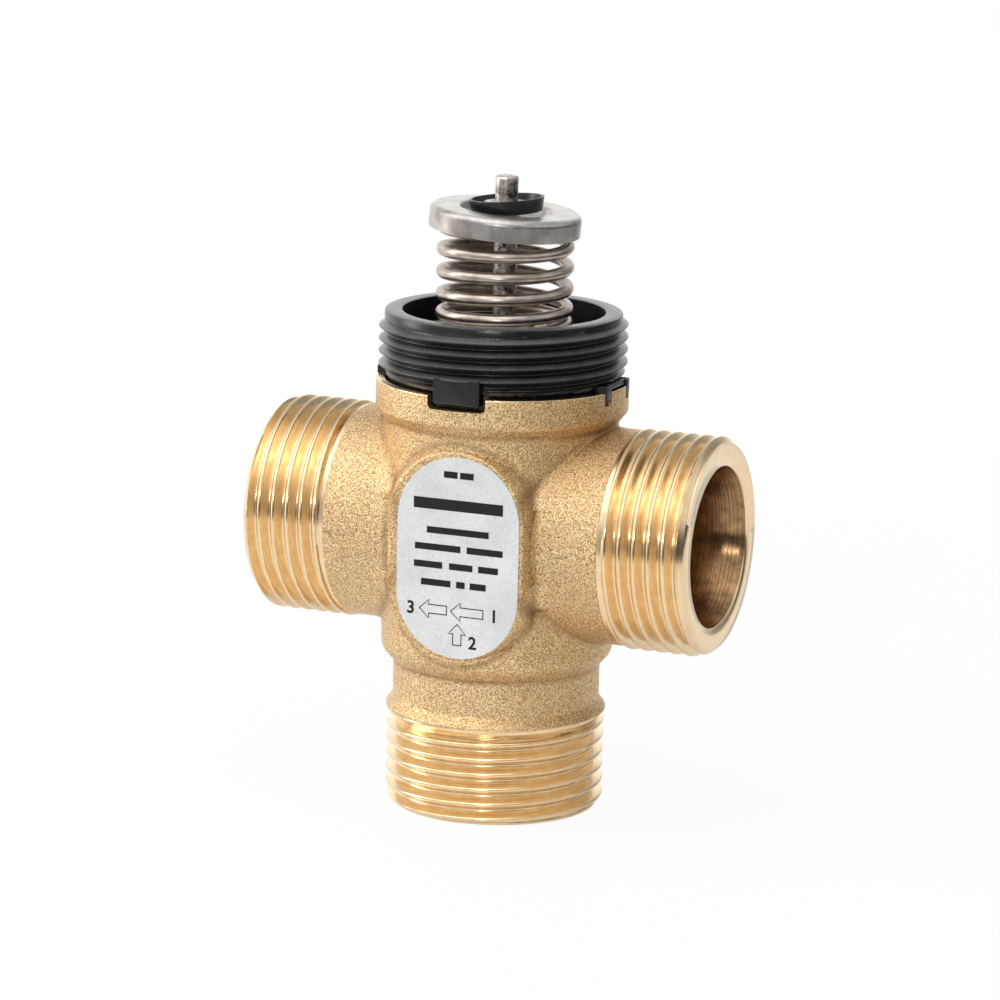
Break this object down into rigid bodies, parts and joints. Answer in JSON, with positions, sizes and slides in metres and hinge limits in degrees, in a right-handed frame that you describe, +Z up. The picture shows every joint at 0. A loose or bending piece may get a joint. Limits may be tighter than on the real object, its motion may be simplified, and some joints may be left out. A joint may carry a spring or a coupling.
{
  "type": "three-way valve",
  "caption": "Compact three-way linear valve with male threaded ports, threaded plastic actuator collar and a spring-returned stem.",
  "frame": {"origin": "centre of the lower port's end face", "axes": "+Z up along the stem, +X towards the open-faced side port (inlet A), the plate on the -Y side"},
  "size_m": [0.0712, 0.0384, 0.0966],
  "materials": {
    "cast_brass": "sand-cast and blasted brass, machined ports",
    "turned_brass": "turned brass",
    "plate": "satin foil plate",
    "black_plastic": "moulded glass-filled plastic",
    "white_plastic": "turned low-friction plastic",
    "rubber": "moulded seal rubber",
    "steel": "drawn and pressed stainless steel",
    "spring_steel": "coiled stainless spring wire"
  },
  "bodies": {
    "valve": {"valve_body": "cast_brass", "type_plate": "plate", "mounting_collar": "black_plastic", "bonnet": "turned_brass", "bonnet_o_ring": "rubber", "guide_bush": "white_plastic", "stem_o_ring_lower": "rubber", "o_ring_spacer": "white_plastic", "stem_o_ring_upper": "rubber", "gland_nut": "turned_brass", "wiper_ring": "rubber", "upper_seat_ring": "turned_brass", "lower_seat_ring": "turned_brass", "return_spring": "spring_steel", "lower_spring_seat": "steel"},
    "spindle": {"stem": "steel", "plug": "turned_brass", "upper_plug_seal": "rubber", "lower_plug_seal": "rubber", "plug_circlip": "steel", "stem_circlip": "steel", "retaining_cup": "black_plastic", "spring_cap": "steel"}
  },
  "joints": [
    {"name": "stem_slide", "type": "slide", "parent": "valve", "child": "spindle", "axis": [0, 0, 1], "range_m": [-0.0055, 0], "stiffness_N_per_m": 4800, "deforming": ["return_spring"]}
  ]
}
